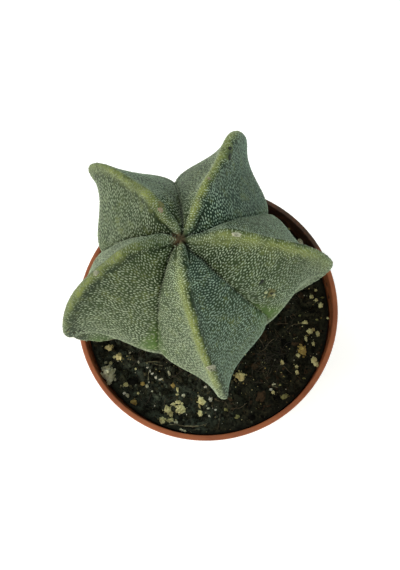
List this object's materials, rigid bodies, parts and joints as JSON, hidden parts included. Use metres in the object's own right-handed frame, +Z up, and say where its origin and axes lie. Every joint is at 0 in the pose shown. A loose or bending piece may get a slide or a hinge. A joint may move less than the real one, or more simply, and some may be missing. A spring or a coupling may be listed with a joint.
{
  "type": "potted bishops cap cactus",
  "caption": "Young spineless star-shaped cactus with white-flecked ribs, standing in gritty peat soil in a round thin-walled plastic nursery pot.",
  "frame": {"origin": "centre of the pot's foot, on the surface that it stands on", "axes": "+Z up along the pot's axis; -Y is the side from above which the picture was taken; +X is to the right there"},
  "size_m": [0.085, 0.085, 0.1366],
  "materials": {
    "terracotta_plastic": "satin",
    "peat_soil": "matte",
    "flecked_skin": "matte"
  },
  "bodies": {
    "root": {"pot": "terracotta_plastic", "soil": "peat_soil", "stem": "flecked_skin"}
  },
  "joints": []
}
